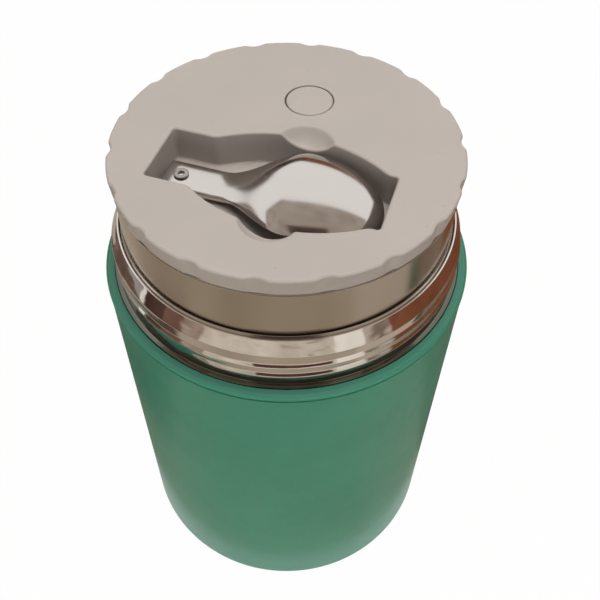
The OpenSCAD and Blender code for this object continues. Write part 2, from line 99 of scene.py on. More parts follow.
# %% Shell
class Shell:
    """Rings and filled regions of one closed piece, in millimetres."""

    def __init__(self):
        self.points, self.faces, self.count = [], [], 0

    def add(self, points, faces):
        """Takes points, and faces that count from the first of them."""
        self.faces.append(np.asarray(faces) + self.count)
        self.points.append(np.asarray(points, float))
        self.count += len(points)

    def strip(self, rings):
        """Cell [i, j] is the quad between rings i and i + 1 and points j and j + 1; the points
        wrap round and the rings don't."""
        rings = np.asarray(rings, float)
        rows, cols = rings.shape[:2]
        low = np.arange((rows - 1) * cols).reshape(rows - 1, cols)
        side = np.roll(low, -1, axis=1)
        quads = np.stack([low, side, side + cols, low + cols], axis=-1).reshape(-1, 4)
        self.add(rings.reshape(-1, 3), quads)

    def fill(self, rings, height, inner=None):
        """Flat triangles inside the first ring and outside the others, each point raised to
        height(x, y). A triangle is kept if its centre lies in an odd number of rings."""
        flat = [ring[:, :2] for ring in rings]
        spans = np.cumsum([0] + [len(ring) for ring in flat])
        edges = [np.stack([np.arange(a, b), np.roll(np.arange(a, b), -1)], axis=1)
                 for a, b in zip(spans[:-1], spans[1:])]
        spots = np.concatenate(flat + ([inner] if inner is not None else []))
        made = delaunay_2d_cdt([Vector(p) for p in spots.tolist()],
                               np.concatenate(edges).tolist(), [], 0, 1e-7)
        points, faces = np.array([tuple(p) for p in made[0]]), np.array(made[2])
        centres = points[faces].mean(axis=1)
        kept = faces[sum(inside(centres, ring) for ring in flat) % 2 == 1]
        self.add(np.column_stack([points, height(points[:, 0], points[:, 1])]), kept)

    def piece(self, name, smooth=True):
        """Welds the rings, turns the faces outwards and makes the object."""
        mesh = bpy.data.meshes.new(name)
        faces = [face for block in self.faces for face in block.tolist()]
        mesh.from_pydata(np.concatenate(self.points) * 0.001, [], faces)
        solid = bmesh.new()
        solid.from_mesh(mesh)
        bmesh.ops.remove_doubles(solid, verts=solid.verts, dist=2e-7)
        bmesh.ops.delete(solid, geom=[e for e in solid.edges if not e.link_faces], context="EDGES")
        bmesh.ops.delete(solid, geom=[v for v in solid.verts if not v.link_faces], context="VERTS")
        bmesh.ops.recalc_face_normals(solid, faces=solid.faces)
        holes = sum(len(edge.link_faces) != 2 for edge in solid.edges)
        solid.to_mesh(mesh)
        solid.free()
        mesh.shade_smooth() if smooth else mesh.shade_flat()
        made = bpy.data.objects.new(name, mesh)
        bpy.context.scene.collection.objects.link(made)
        print(f"{name}: {len(mesh.polygons)} faces, {holes} open edges")
        return made


def inside(points, ring):
    """1 where a ray along +X from the point crosses the closed ring an odd number of times."""
    a, b = ring[:, :2], np.roll(ring[:, :2], -1, axis=0)
    x, y = points[:, :1], points[:, 1:2]
    rise = np.where(b[:, 1] == a[:, 1], 1e-12, b[:, 1] - a[:, 1])
    meets = a[:, 0] + (y - a[:, 1]) * (b[:, 0] - a[:, 0]) / rise
    return (((a[:, 1] > y) != (b[:, 1] > y)) & (meets > x)).sum(axis=1) % 2


# %% [markdown]
# ## Rounded profiles and the lathe
# Sheet metal has no sharp corner, and a polished edge shows as a thin line of light. Each
# profile is a list of corners with a radius; the corner is cut back and an arc is laid between
# the cuts. A bevel modifier could round the edges afterwards, but an arc in the profile keeps
# its exact radius and costs nothing where the wall is straight.


# %% Profiles
def rounded(corners, step=10):
    """Closed outline through corners (r, z, radius). A corner is cut back by
    radius / tan(half its inside angle), and its arc is run through in steps of so many degrees."""
    spots = np.array([corner[:2] for corner in corners], float)
    out = []
    for k, (spot, corner) in enumerate(zip(spots, corners)):
        if corner[2] == 0:
            out.append(spot[None])
            continue
        back, ahead = spots[k - 1] - spot, spots[(k + 1) % len(spots)] - spot
        back, ahead = back / np.linalg.norm(back), ahead / np.linalg.norm(ahead)
        half = np.arccos(np.clip(back @ ahead, -1, 1)) / 2
        middle = spot + (back + ahead) / np.linalg.norm(back + ahead) * corner[2] / np.sin(half)
        start = spot + back * corner[2] / np.tan(half) - middle
        end = spot + ahead * corner[2] / np.tan(half) - middle
        turn = np.pi - 2 * half
        t = np.linspace(0, 1, max(2, int(np.degrees(turn) / step) + 2))[:, None]
        sweep = np.sin((1 - t) * turn) * start + np.sin(t * turn) * end
        out.append(middle + sweep / np.sin(turn))
    return np.concatenate(out)


def turned(profile, centre=(0, 0), count=256, swell=None):
    """Rings of a turned part: profile point (r, z) at angle a lies at
    centre + (r cos a, r sin a), height z. swell(a, r, z) is added to r."""
    a = np.linspace(0, 2 * np.pi, count, endpoint=False)[None, :]
    r, z = profile[:, :1], profile[:, 1:2] + 0 * a
    r = r + (swell(a, r, z) if swell else 0 * a)
    return np.stack([centre[0] + r * np.cos(a), centre[1] + r * np.sin(a), z], axis=-1)


def lathe(name, corners, centre=(0, 0), count=256, swell=None):
    """One closed turned piece from the corners of its cross-section."""
    profile = rounded(corners)
    shell = Shell()
    shell.strip(turned(np.concatenate([profile, profile[:1]]), centre, count, swell))
    return shell.piece(name)


square = rounded([(0, 0, 1), (9, 0, 0), (0, 9, 0)])
print("points in the arc of a square corner:", len(square) - 2)

# %% [markdown]
# ## Putting pieces in place
# A new piece rides on the CAD body it belongs to, stands for the CAD node it replaces, and
# takes that node's slot in the record. Weighted normals keep large plain faces flat beside
# their small rounded edges.


# %% Fitting pieces
def fit(piece, body, slot, *nodes):
    """Rides piece on body, names its slot and hides the nodes that it stands for."""
    modifier = piece.modifiers.new("even shading", "WEIGHTED_NORMAL")
    modifier.weight = 100
    modifier.keep_sharp = True
    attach(piece, body)
    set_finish(piece, slot)
    if nodes:
        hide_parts(*nodes)
    return piece


# %% [markdown]
# ## The outer shell
# The painted wall is one drawn steel can: a small radius at the foot, a straight side, a fine
# rolled groove, and a soft shoulder that lies a hair proud of the side. Turning its section is
# the obvious way, because every point lies on a circle round the axis.

# %% Outer shell
BODY_R, SHOULDER_R, SHELL_TOP, SHEET = 55.1, 55.3, 130.6, 0.8
FOOT_IN, FOOT_ROUND, SHOULDER_ROUND, OPENING_R, CURL_R = 44.1, 3.5, 1.3, 52.5, 53.8
GROOVE_Z, GROOVE_HALF, GROOVE_DEEP = 128.5, 0.5, 0.5
wall_in, groove_r = BODY_R - SHEET, BODY_R - GROOVE_DEEP
outer_shell = lathe("shell_skin", [
    (FOOT_IN, 0, 0.2), (BODY_R, 0, FOOT_ROUND), (BODY_R, GROOVE_Z - GROOVE_HALF, 0.2),
    (groove_r, GROOVE_Z - GROOVE_HALF / 2, 0.12), (groove_r, GROOVE_Z + GROOVE_HALF / 2, 0.12),
    (SHOULDER_R, GROOVE_Z + GROOVE_HALF, 0.2), (SHOULDER_R, SHELL_TOP, SHOULDER_ROUND),
    (OPENING_R, SHELL_TOP, 0.15), (OPENING_R, SHELL_TOP - 1, 0.15), (CURL_R, SHELL_TOP - 1.5, 0.3),
    (CURL_R, SHELL_TOP - 3.1, 0.3), (wall_in, SHELL_TOP - 3.6, 0.3),
    (wall_in, SHEET, FOOT_ROUND - SHEET), (FOOT_IN, SHEET, 0.2)], count=360)
fit(outer_shell, "jar", "green_paint", "outer_shell")

# %% [markdown]
# ## The neck and its thread
# The neck is a rolled steel ring: a flared collar on the enamel's edge, a straight wall, and a
# taper up to a thin lip. The cover's thread is pressed into the sheet, so it has no hard edge:
# the wall's radius simply swells where the helix passes. That is a height field on the turned
# wall, which stays one smooth skin; a separate ridge laid on top would show a seam.

# %% Neck ring
NECK_R, LIP_Z, MOUTH_R, LIP_IN, COLLAR_R = 51.0, 148.2, 49.4, 48.6, 52.4
COLLAR_Z, FLARE_Z, TAPER_Z, WALL_IN = 130.85, 131.15, 143.3, 50.2
PITCH, CREST_LOW, THREAD_TURNS, THREAD_H = 4.0, 134.4, 2.0, 0.6
THREAD_START, THREAD_UP, THREAD_DOWN = math.radians(-105), 1.7, 0.6
RIM_IN, COLLAR_LOW, COLLAR_IN = 144.6, 128.8, WALL_IN + 1.4
WALL_STEP = 0.13


def neck_thread(a, r, z):
    """Height of the pressed thread over the wall: half a cosine wave on each side of the crest
    z = low + pitch * turns, longer above it than below, fading in at the start and out at the
    end, on the outer wall only."""
    share = (a - THREAD_START) / (2 * np.pi)
    turns = share + np.round((z - CREST_LOW) / PITCH - share)
    turns = np.clip(turns, 0, THREAD_TURNS)
    off = z - CREST_LOW - PITCH * turns
    off = np.clip(np.where(off > 0, off / THREAD_UP, -off / THREAD_DOWN), 0, 1)
    fade = np.clip(np.minimum(turns / 0.04, (THREAD_TURNS - turns) / 0.15), 0, 1)
    fade = fade * fade * (3 - 2 * fade)
    return np.where(r > NECK_R - 0.05, 0.5 * THREAD_H * (1 + np.cos(np.pi * off)) * fade, 0)


wall = [(NECK_R, z, 0) for z in np.arange(FLARE_Z + 0.5, TAPER_Z - 0.5, WALL_STEP)]
neck = lathe("neck_skin", [
    (COLLAR_R, COLLAR_LOW, 0.15), (COLLAR_R, COLLAR_Z, 0.2), (NECK_R, FLARE_Z, 0.3), *wall,
    (NECK_R, TAPER_Z, 0.5), (LIP_IN + 0.55, LIP_Z, 0.3), (LIP_IN, LIP_Z, 0.2),
    (LIP_IN, LIP_Z - 0.9, 0.1), (MOUTH_R, RIM_IN, 0.1), (WALL_IN, RIM_IN, 0.1),
    (WALL_IN, COLLAR_Z, 0.4), (COLLAR_IN, COLLAR_Z - 1, 0.3), (COLLAR_IN, COLLAR_LOW, 0.15)],
    count=480, swell=neck_thread)
fit(neck, "jar", "polished_steel", "neck_ring")

# %% [markdown]
# ## The food vessel and the hidden base
# Behind the neck hangs the vessel: a mouth with a sloped seat for the seal, a narrow waist and
# a wide cavity with a generous floor radius, so that a spoon reaches everything.

# %% Food vessel
LINER, SEAT_R, SEAT_Z, CAVITY_R, FLOOR_Z, MOUTH_TOP = 0.6, 47.0, 123.6, 49.5, 9.0, 144.5
vessel = lathe("vessel_skin", [
    (MOUTH_R, MOUTH_TOP, 0.1), (MOUTH_R, SEAT_Z + 1.6, 0.3), (SEAT_R, SEAT_Z, 0.4),
    (SEAT_R, SEAT_Z - 1, 0.4), (CAVITY_R, SEAT_Z - 5.9, 1.5), (CAVITY_R, FLOOR_Z, 14),
    (0, FLOOR_Z, 0), (0, FLOOR_Z - LINER, 0), (CAVITY_R + LINER, FLOOR_Z - LINER, 14.6),
    (CAVITY_R + LINER, SEAT_Z - 5.6, 1.2), (SEAT_R + LINER, SEAT_Z - 0.7, 0.3),
    (SEAT_R + LINER, SEAT_Z - 0.3, 0.3), (MOUTH_R + LINER, SEAT_Z + 1.0, 0.3),
    (MOUTH_R + LINER, MOUTH_TOP, 0.1)])
fit(vessel, "jar", "vessel_steel", "inner_vessel")

# %% [markdown]
# The vessel's mouth has three thread ridges that the lid's plug runs on. Each is a round section
# carried along a helix, flattened against the wall and fading out at both ends.

# %% Mouth thread
LEAD, STARTS, THREAD_LOW, ENGAGED, RIDGE_HALF, ROOTED = 18.0, 3, 130.7, 0.55, 1.1, -0.15


def capped(rings):
    """The rings with a point in the middle of the first and of the last, so that both ends
    close: every point of such an end ring is the mean of the ring beside it."""
    ends = [np.repeat(ring.mean(axis=0)[None], len(ring), axis=0)
            for ring in (rings[0], rings[-1])]
    return np.concatenate([ends[:1], rings, ends[1:]])


def thread(name, radius, height, phase=0.0):
    """The lid's ridges on a wall of that radius, on its clear side by height (negative:
    inwards). Section angle b and turns t give radius + height * fade * max(sin b, ROOTED) and
    THREAD_LOW + LEAD * t + RIDGE_HALF * cos b; fade brings both ends down to the wall."""
    t = np.linspace(0, ENGAGED, 90)[:, None]
    b = np.linspace(0, 2 * np.pi, 14, endpoint=False)[None, :]
    fade = np.clip(np.minimum(t, ENGAGED - t) / 0.05, 0.02, 1)
    shell = Shell()
    for start in range(STARTS):
        a = 2 * np.pi * (t + start / STARTS) + phase
        r = radius + height * fade * np.maximum(np.sin(b), ROOTED)
        z = THREAD_LOW + LEAD * t + RIDGE_HALF * np.cos(b) * (0.3 + 0.7 * fade)
        shell.strip(capped(np.stack([r * np.cos(a), r * np.sin(a), z], axis=-1)))
    return shell.piece(name)


mouth_thread = thread("mouth_thread", MOUTH_R, -1.3, phase=np.pi / STARTS)
fit(mouth_thread, "jar", "vessel_steel")

# %% [markdown]
# ## The plug
# The lid's plug, its cap and its seal stay as the CAD has them; only the thread is added. The
# plug's ridges lie half way between those of the mouth, so the two never meet while the lid
# turns and rises on the same lead.

# %% Plug thread
PLUG_R = 47.7
plug_thread = thread("plug_thread", PLUG_R, 0.8)
fit(plug_thread, "lid", "pale_plastic")

# %% [markdown]
# ## The steel band
# A thin satin sleeve dresses the plug between the lid's rim and the neck. Its foot is rolled out
# a little, which centres the lid in the lip and leaves only a fine joint between the two.

# %% Band
FOOT_R, FOOT_Z, BAND_IN, BAND_LOW, BAND_TOP = 48.35, 147.6, 47.1, 143.2, 163.95
band = lathe("band_skin", [
    (BAND_IN, BAND_LOW, 0.15), (FOOT_R, BAND_LOW, 0.25), (FOOT_R, FOOT_Z, 0.3),
    (PLUG_R, FOOT_Z + 0.5, 0.3), (PLUG_R, BAND_TOP, 0.1), (BAND_IN, BAND_TOP, 0.15)], count=360)
fit(band, "lid", "satin_steel", "lid_sleeve")

# %% [markdown]
# ## The lid moulding
# The lid is one plastic moulding: a scalloped rim, a flat top, a recess with curved sides for
# the spoon, two finger scoops and a well for the button. Every edge has a moulding radius that
# catches light. A boolean with a bevel breaks down where the scoops meet the recess's wall, so
# the top is built as outlines with a profile carried along them. The scoops lower the height of
# the top, and the edge radius follows that height down into them.

# %% Outlines of the lid
LID_Z, RIM_Z, LID_R, RIM_R = 170.3, 164.7, 48.5, 47.9
SCALLOPS, SCALLOP_R, SCALLOP_DEPTH = 18, 5.0, 1.0
SPOON_Y, RECESS_L, RECESS_W, RECESS_Z = -12.9, 63.474, 19.9, 159.7
POCKET_X, POCKET_W, POCKET_HALF = 4.887, 35.0, 24.0
SCOOP = {"x": 4.687, "off": 14.5, "radius": 8.9, "rise": 3.9}
BUTTON = (0.0, 20.5)
WELL_R, WELL_Z, WELL_OUT, WELL_BASE, STEM_HOLE = 7.0, 160.3, 8.8, 158.3, 1.6


def smooth_min(a, b, k):
    """The smaller of a and b, with a soft change-over where they differ by less than k."""
    h = np.clip(0.5 + 0.5 * (b - a) / k, 0, 1)
    return b + (a - b) * h - k * h * (1 - h)


def rim_radius(a, wall):
    """Rim radius at angle a: the wall's own, or the near side of the scallop's circle,
    c cos(a) - sqrt(s^2 - c^2 sin^2(a)), whichever is smaller."""
    c = LID_R - SCALLOP_DEPTH + SCALLOP_R
    span = 2 * np.pi / SCALLOPS
    a = (a + span / 2) % span - span / 2
    reach = SCALLOP_R ** 2 - (c * np.sin(a)) ** 2
    notch = np.where(reach > 0, c * np.cos(a) - np.sqrt(np.maximum(reach, 0)), 2 * c)
    return smooth_min(wall + 0 * a, notch, 0.5)


def even(ring, spacing):
    """The closed ring run through again in equal steps of its length."""
    closed = np.concatenate([ring, ring[:1]])
    along = np.concatenate([[0], np.cumsum(np.linalg.norm(np.diff(closed, axis=0), axis=1))])
    at = np.linspace(0, along[-1], int(along[-1] / spacing), endpoint=False)
    return np.column_stack([np.interp(at, along, closed[:, k]) for k in range(2)])


def offset(ring, out):
    """The closed anticlockwise ring moved outwards along its normals."""
    along = np.roll(ring, -1, axis=0) - np.roll(ring, 1, axis=0)
    along /= np.linalg.norm(along, axis=1, keepdims=True)
    return ring + out * np.column_stack([along[:, 1], -along[:, 0]])


def recess_outline(corner=1.0, spacing=0.3):
    """Half width h(x) = the larger of the slot's and the pocket arc's, softly joined; the
    outline is h above and -h below, closed by straight ends with rounded corners."""
    bulge = (POCKET_W - RECESS_W) / 2
    side_r = (POCKET_HALF ** 2 + bulge ** 2) / (2 * bulge)
    x = np.linspace(-RECESS_L / 2 + corner, RECESS_L / 2 - corner, 900)
    arc = np.sqrt(side_r ** 2 - (x - POCKET_X) ** 2) - side_r + POCKET_W / 2
    h = -smooth_min(np.full_like(x, -RECESS_W / 2), -arc, 0.8)
    a = np.radians(np.linspace(0, 90, 12))
    bend = corner * np.column_stack([np.sin(a), np.cos(a)])
    end = np.array([RECESS_L / 2 - corner, RECESS_W / 2 - corner])
    upper = np.column_stack([x, h])
    right = np.concatenate([upper, end + bend, (end + bend)[::-1] * [1, -1]])
    left = np.concatenate([(upper * [1, -1])[::-1], (end + bend) * [-1, -1],
                           (end + bend)[::-1] * [-1, 1]])
    ring = np.concatenate([right, left])[::-1] + [0, SPOON_Y]
    return even(ring, spacing)


def top_height(x, y):
    """The lid's top face, lowered softly into the two ball-shaped finger scoops: the smaller of
    LID_Z and a ball's underside, centre height - sqrt(radius^2 - distance^2)."""
    z = np.full_like(x, LID_Z)
    for side in (-1, 1):
        away = (x - SCOOP["x"]) ** 2 + (y - SPOON_Y - side * SCOOP["off"]) ** 2
        dip = np.sqrt(np.maximum(SCOOP["radius"] ** 2 - away, 0))
        z = smooth_min(z, LID_Z + SCOOP["rise"] - dip, 0.9)
    return z


outline = recess_outline()
print("points round the recess:", len(outline))

# %% [markdown]
# The rim's strip runs from the underside, over the flared and scalloped wall and its radius, to
# the edge of the flat top. The recess's strip runs from the flat top over its radius, down the
# wall and round the floor's radius. What is left between the rings is filled.

# %% Lid moulding
EDGE, FLOOR_EDGE, SECTION_IN = 0.7, 0.8, 44.0


def level(ring, z):
    """The flat ring, laid at one height."""
    return np.column_stack([ring[:, :2], np.full(len(ring), z)])


def plain(z):
    """The height function of a flat region, for Shell.fill."""
    return lambda x, y: np.full_like(x, z)


lid = Shell()
quarter = np.radians(np.linspace(0, 90, 8))

around = np.linspace(0, 2 * np.pi, 720, endpoint=False)
section = rounded([(SECTION_IN, RIM_Z, 0), (RIM_R, RIM_Z, 0.4), (LID_R, LID_Z, 0.75),
                   (SECTION_IN, LID_Z, 0)], 8)[1:-1]
wall_r = RIM_R + (section[:, 1] - RIM_Z) / (LID_Z - RIM_Z) * (LID_R - RIM_R)
rim = np.array([rim_radius(around, w) - (w - r) for w, (r, z) in zip(wall_r, section)])
rim_rings = np.stack([rim * np.cos(around), rim * np.sin(around),
                      np.repeat(section[:, 1:], 720, axis=1)], axis=-1)
lid.strip(rim_rings)

rings = []
for turn in quarter:
    ring = offset(outline, EDGE * (1 - np.sin(turn)))
    drop = EDGE * (1 - np.cos(turn))
    rings.append(np.column_stack([ring, top_height(*offset(outline, EDGE).T) - drop]))
wall_top, wall_low = rings[-1][:, 2], RECESS_Z + FLOOR_EDGE
for share in (0.35, 0.7):
    rings.append(np.column_stack([outline, wall_top * (1 - share) + wall_low * share]))
for turn in quarter:
    ring = offset(outline, -FLOOR_EDGE * (1 - np.cos(turn)))
    rings.append(level(ring, RECESS_Z + FLOOR_EDGE * (1 - np.sin(turn))))
lid.strip(rings)
lid.fill([rings[-1]], plain(RECESS_Z))
print("strips of the rim and the recess:", len(rim_rings) - 1, len(rings) - 1)

# %% [markdown]
# The button's well is turned round the button's own axis. Under the recess hangs its tub, and
# the flat underside lies between the rim, the tub and the well.

# %% Well, tub and underside
TUB_WALL, TUB_LOW, TUB_EDGE = 1.8, 158.2, 0.5
well = turned(rounded([
    (WELL_R + EDGE, LID_Z, 0), (WELL_R, LID_Z, 0.35), (WELL_R, WELL_Z, 0.5),
    (STEM_HOLE, WELL_Z, 0.1), (STEM_HOLE, WELL_BASE, 0.1), (WELL_OUT, WELL_BASE, 0.5),
    (WELL_OUT, RIM_Z, 0)]), BUTTON, 96)
lid.strip(well)

tub = offset(outline, TUB_WALL)
tub_rings = [level(tub, RIM_Z), level(tub, TUB_LOW),
             level(offset(outline, TUB_WALL - TUB_EDGE), TUB_LOW - TUB_EDGE)]
lid.strip(tub_rings)
lid.fill([tub_rings[-1]], plain(TUB_LOW - TUB_EDGE))
lid.fill([rim_rings[0], tub_rings[0], well[-1]], plain(RIM_Z))
print("points round the tub and the well:", len(tub), well.shape[1])

# %% [markdown]
# The flat top needs points only where it isn't flat, so a coarse lattice covers the face and a
# fine one the scoops. Points too near a ring are dropped, because they would make slivers.

# %% Lid top face
def lattice(spacing, reach):
    """Staggered rows of points over the square from -reach to reach."""
    x, y = np.meshgrid(np.arange(-reach, reach, spacing), np.arange(-reach, reach, spacing))
    x = x + (np.round(y / spacing) % 2) * spacing / 2
    return np.column_stack([x.ravel(), y.ravel()])


def near(points, ring, limit):
    """True where a point lies within limit of one of the ring's points."""
    gap = (points[:, None, :] - ring[None, :, :2]) ** 2
    return (gap.sum(axis=-1) < limit * limit).any(axis=1)


COARSE, FINE, FACE_HALF, COARSE_FROM, FINE_TO, CLEAR = 2.0, 0.5, 48, 10.0, 9.6, 0.3
top_rings = [rim_rings[-1], rings[0], well[0]]
coarse, fine = lattice(COARSE, FACE_HALF), lattice(FINE, FACE_HALF)
scoops = np.array([[SCOOP["x"], SPOON_Y + side * SCOOP["off"]] for side in (-1, 1)])
coarse = coarse[~near(coarse, scoops, COARSE_FROM)]
fine = fine[near(fine, scoops, FINE_TO)]
inner = np.concatenate([coarse, fine])
inner = inner[sum(inside(inner, ring) for ring in top_rings) == 1]
for ring in top_rings:
    inner = inner[~near(inner, ring, CLEAR)]
lid.fill(top_rings, top_height, inner)
print("points inside the top face:", len(inner))

# %% [markdown]
# Four bosses for the screws that hold the plug hang from the moulding, on a circle between the
# recess's tub and the band.

# %% Screw bosses
BOSS_R, SCREW_R, BOSS_LOW, BOSS_TOP, BOSS_RING = 3.5, 1.25, 157.3, 165.0, 40
boss = rounded([(SCREW_R, BOSS_LOW, 0.1), (BOSS_R, BOSS_LOW, 0.2), (BOSS_R, BOSS_TOP, 0),
                (SCREW_R, BOSS_TOP, 0)])
for angle in np.radians([20, 160, 250, 290]):
    lid.strip(turned(np.concatenate([boss, boss[:1]]),
                     (BOSS_RING * math.cos(angle), BOSS_RING * math.sin(angle)), 32))
lid_skin = lid.piece("lid_skin")
fit(lid_skin, "lid", "grey_plastic", "lid_top")

# %% [markdown]
# ## The vent button
# A fingertip pushes it down against a spring to let the vacuum go before the lid is turned. It
# sits flush, so all that shows is its edge radius and the thin dark gap round it. It stands a
# tenth of a millimetre off the well's middle, as a loose button does.

# %% Button
BUTTON_R, SKIRT_IN, SKIRT_LOW, HEAD_Z = 6.7, 5.5, 164.5, 168.3
SOCKET_R, SOCKET_LOW, STEM_R, STEM_TOP = 2.6, 165.5, 1.5, 167.3
LOOSE_X, LOOSE_Y = 0.1, -0.04
button = lathe("button_skin", [
    (0, LID_Z - 0.05, 0), (5.0, LID_Z - 0.02, 0), (BUTTON_R, LID_Z, 0.5),
    (BUTTON_R, SKIRT_LOW, 0.25), (SKIRT_IN, SKIRT_LOW, 0.25), (SKIRT_IN, HEAD_Z, 0.4),
    (SOCKET_R, HEAD_Z, 0.3), (SOCKET_R, SOCKET_LOW, 0.2), (STEM_R, SOCKET_LOW, 0.1),
    (STEM_R, STEM_TOP, 0), (0, STEM_TOP, 0)], (BUTTON[0] + LOOSE_X, BUTTON[1] + LOOSE_Y), 128)
fit(button, "vent", "grey_plastic", "vent_button")

# %% [markdown]
# ## The return spring
# The spring is a wire wound round the stem, between the well's floor and the button. A circle
# carried along a helix is the wire as it is wound. The coil keeps this one shape and rides
# with the lid.

# %% Return spring
WIRE_R, COIL_R, COILS = 0.35, 4.0, 5


def coil(turns, b):
    """Point of the wire's skin at that many turns and section angle b: radius R + r cos b from
    the stem, height rising evenly from foot to head plus r sin b."""
    a = 2 * np.pi * turns
    r = COIL_R + WIRE_R * np.cos(b)
    z = WELL_Z + WIRE_R + (HEAD_Z - WELL_Z - 2 * WIRE_R) * turns / COILS + WIRE_R * np.sin(b)
    return np.stack([BUTTON[0] + r * np.cos(a), BUTTON[1] + r * np.sin(a), z], axis=-1)


winding = Shell()
winding.strip(capped(coil(np.linspace(0, COILS, 200)[:, None],
                          np.linspace(0, 2 * np.pi, 12, endpoint=False)[None, :])))
spring = fit(winding.piece("spring_skin"), "lid", "pin_steel", "vent_spring")
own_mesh(spring)

# %% [markdown]
# ## The folding spoon
# The bowl lies back up: a pressed dome that grows out of a flat neck plate. Its outline, the
# rise of its rim and its crown are functions of the distance from the rivet, and each
# cross-section is a full arch. The wall thins to a rounded edge all the way round, so the skin
# closes on itself.

# %% Spoon bowl
RIVET = (-25.987, SPOON_Y)
PLATE_TOP, PLATE_T = 163.3, 1.2
NECK_W, BOWL_W, BOWL_H, BOWL_T, RIM_RISE, FULL = 10.4, 31.6, 4.8, 1.0, 3.6, 2.6
SWELL_X, WIDE_X, TIP_X, HEEL, SQUARE, THIN = 12.0, 33.97, 56.67, 4.9, 0.35, 0.25


def ease(t):
    """Smooth step from 0 to 1."""
    t = np.clip(t, 0, 1)
    return t * t * (3 - 2 * t)


def bowl_surface(x, v):
    """Half width w and height z of the bowl's outer face at x from the rivet and share v of the
    width: w, the rim's rise and the crown swell with a smooth step and close in a half
    ellipse; the arch over v is 1 - |v|^FULL."""
    tip = np.sqrt(np.maximum(0, 1 - (np.maximum(0, x - WIDE_X) / (TIP_X - WIDE_X)) ** 2))
    swell = (x - SWELL_X) / (WIDE_X - SWELL_X)
    w = (NECK_W / 2 + (BOWL_W - NECK_W) / 2 * ease(swell)) * tip
    grown = ease((x - SWELL_X + 2) / (WIDE_X - SWELL_X))
    arch = 1 - np.abs(v) ** FULL
    return w, PLATE_TOP - 0.1 + grown * tip * (RIM_RISE + BOWL_H * np.sqrt(tip) * arch)


round_tip = np.sin(np.linspace(0, np.pi / 2, 60))
reach = np.concatenate([np.linspace(-HEEL, WIDE_X, 110, endpoint=False),
                        WIDE_X + (TIP_X - WIDE_X) * round_tip])[:, None]
loop = np.linspace(0, 2 * np.pi, 96, endpoint=False)[None, :]
v = np.cos(loop)
square_end = np.clip((reach + HEEL) / SQUARE, 0, 1)
w, z = bowl_surface(reach, v)
thick = PLATE_T + (BOWL_T - PLATE_T) * ease((reach - 6) / 8)
edge = (1 - np.abs(v) ** 14) ** 0.5 * np.sqrt(np.maximum(1 - (1 - square_end) ** 2, 0.02))
tip_thin = np.sqrt(np.clip((TIP_X - reach) / THIN, 0, 1))
z = z - thick / 2 + np.sign(np.sin(loop)) * thick / 2 * edge * tip_thin
grid = np.stack([RIVET[0] + reach + 0 * v, RIVET[1] + w * v, z], axis=-1)
bowl = Shell()
heel = np.repeat(grid[0].mean(axis=0)[None], grid.shape[1], axis=0)
bowl.strip(np.concatenate([[heel], grid]))
spoon = bowl.piece("spoon_skin")
fit(spoon, "spoon", "spoon_steel", "spoon_bowl")

# %% [markdown]
# ## Handle and rivet
# The handle is a flat strip, folded under the bowl, with a round end and a hole to hang it by.
# A strip blanked from sheet has softly rounded edges all the way round, the holes' too.


# %% Flat plate
def plate(name, outlines, z_low, z_high, edge):
    """Flat plate between heights, outline first and then its holes. At edge * (1 - cos t) from
    either face the outline is set back into the metal by edge * (1 - sin t)."""
    shell = Shell()
    arc = np.radians(np.linspace(0, 90, 6))
    steps = [(edge * (1 - np.sin(t)), z_low + edge * (1 - np.cos(t))) for t in arc]
    steps += [(edge * (1 - np.cos(t)), z_high - edge * (1 - np.sin(t))) for t in arc]
    tops, lows = [], []
    for k, ring in enumerate(outlines):
        side = -1 if k == 0 else 1
        rows = [level(offset(ring, side * inset), z) for inset, z in steps]
        shell.strip(rows)
        lows.append(rows[0])
        tops.append(rows[-1])
    shell.fill(lows, plain(z_low))
    shell.fill(tops, plain(z_high))
    return shell.piece(name)


# %% [markdown]
# The strip's half width is the larger of three: a round root on the rivet, a straight bar, and
# a round tip. They are softly joined, so that the outline has no inner corner.


# %% Handle
def circle(radius, centre=(0, 0), count=48):
    """Closed ring of x and y: centre + radius * (cos a, sin a)."""
    a = np.linspace(0, 2 * np.pi, count, endpoint=False)
    return np.column_stack([centre[0] + radius * np.cos(a), centre[1] + radius * np.sin(a)])


tip_at, root_r, tip_r, bar = 40.8, 5.0, 5.2, 4.4
HANDLE_LOW, HANDLE_TOP, RIVET_HOLE, HANG_HOLE = 160.5, 161.7, 1.45, 1.8
x = np.linspace(-root_r, tip_at + tip_r, 1200)
bar_h = np.where((x > 0) & (x < tip_at), bar, 0)
root_h = np.sqrt(np.maximum(root_r ** 2 - x ** 2, 0))
tip_h = np.sqrt(np.maximum(tip_r ** 2 - (x - tip_at) ** 2, 0))
h = np.maximum(-smooth_min(-root_h, -bar_h, 0.5), tip_h)
h = np.where(x > tip_at - 6, -smooth_min(-tip_h, -bar_h, 0.5), h)
h[[0, -1]] = 0
h = np.where((x < 0) | (x > tip_at), np.maximum(root_h, tip_h), h)
upper = np.column_stack([x, h])
strip_outline = even(np.concatenate([upper[1:], (upper * [1, -1])[::-1][1:]])[::-1], 0.35)
handle = plate("handle_skin", [
    strip_outline + np.array(RIVET), circle(RIVET_HOLE, RIVET),
    circle(HANG_HOLE, (RIVET[0] + tip_at, RIVET[1]))], HANDLE_LOW, HANDLE_TOP, 0.3)
fit(handle, "handle", "spoon_steel", "spoon_handle")

# %% [markdown]
# The rivet is a short tube whose ends are rolled over; its open centre is the dark dot that
# shows on the neck plate.

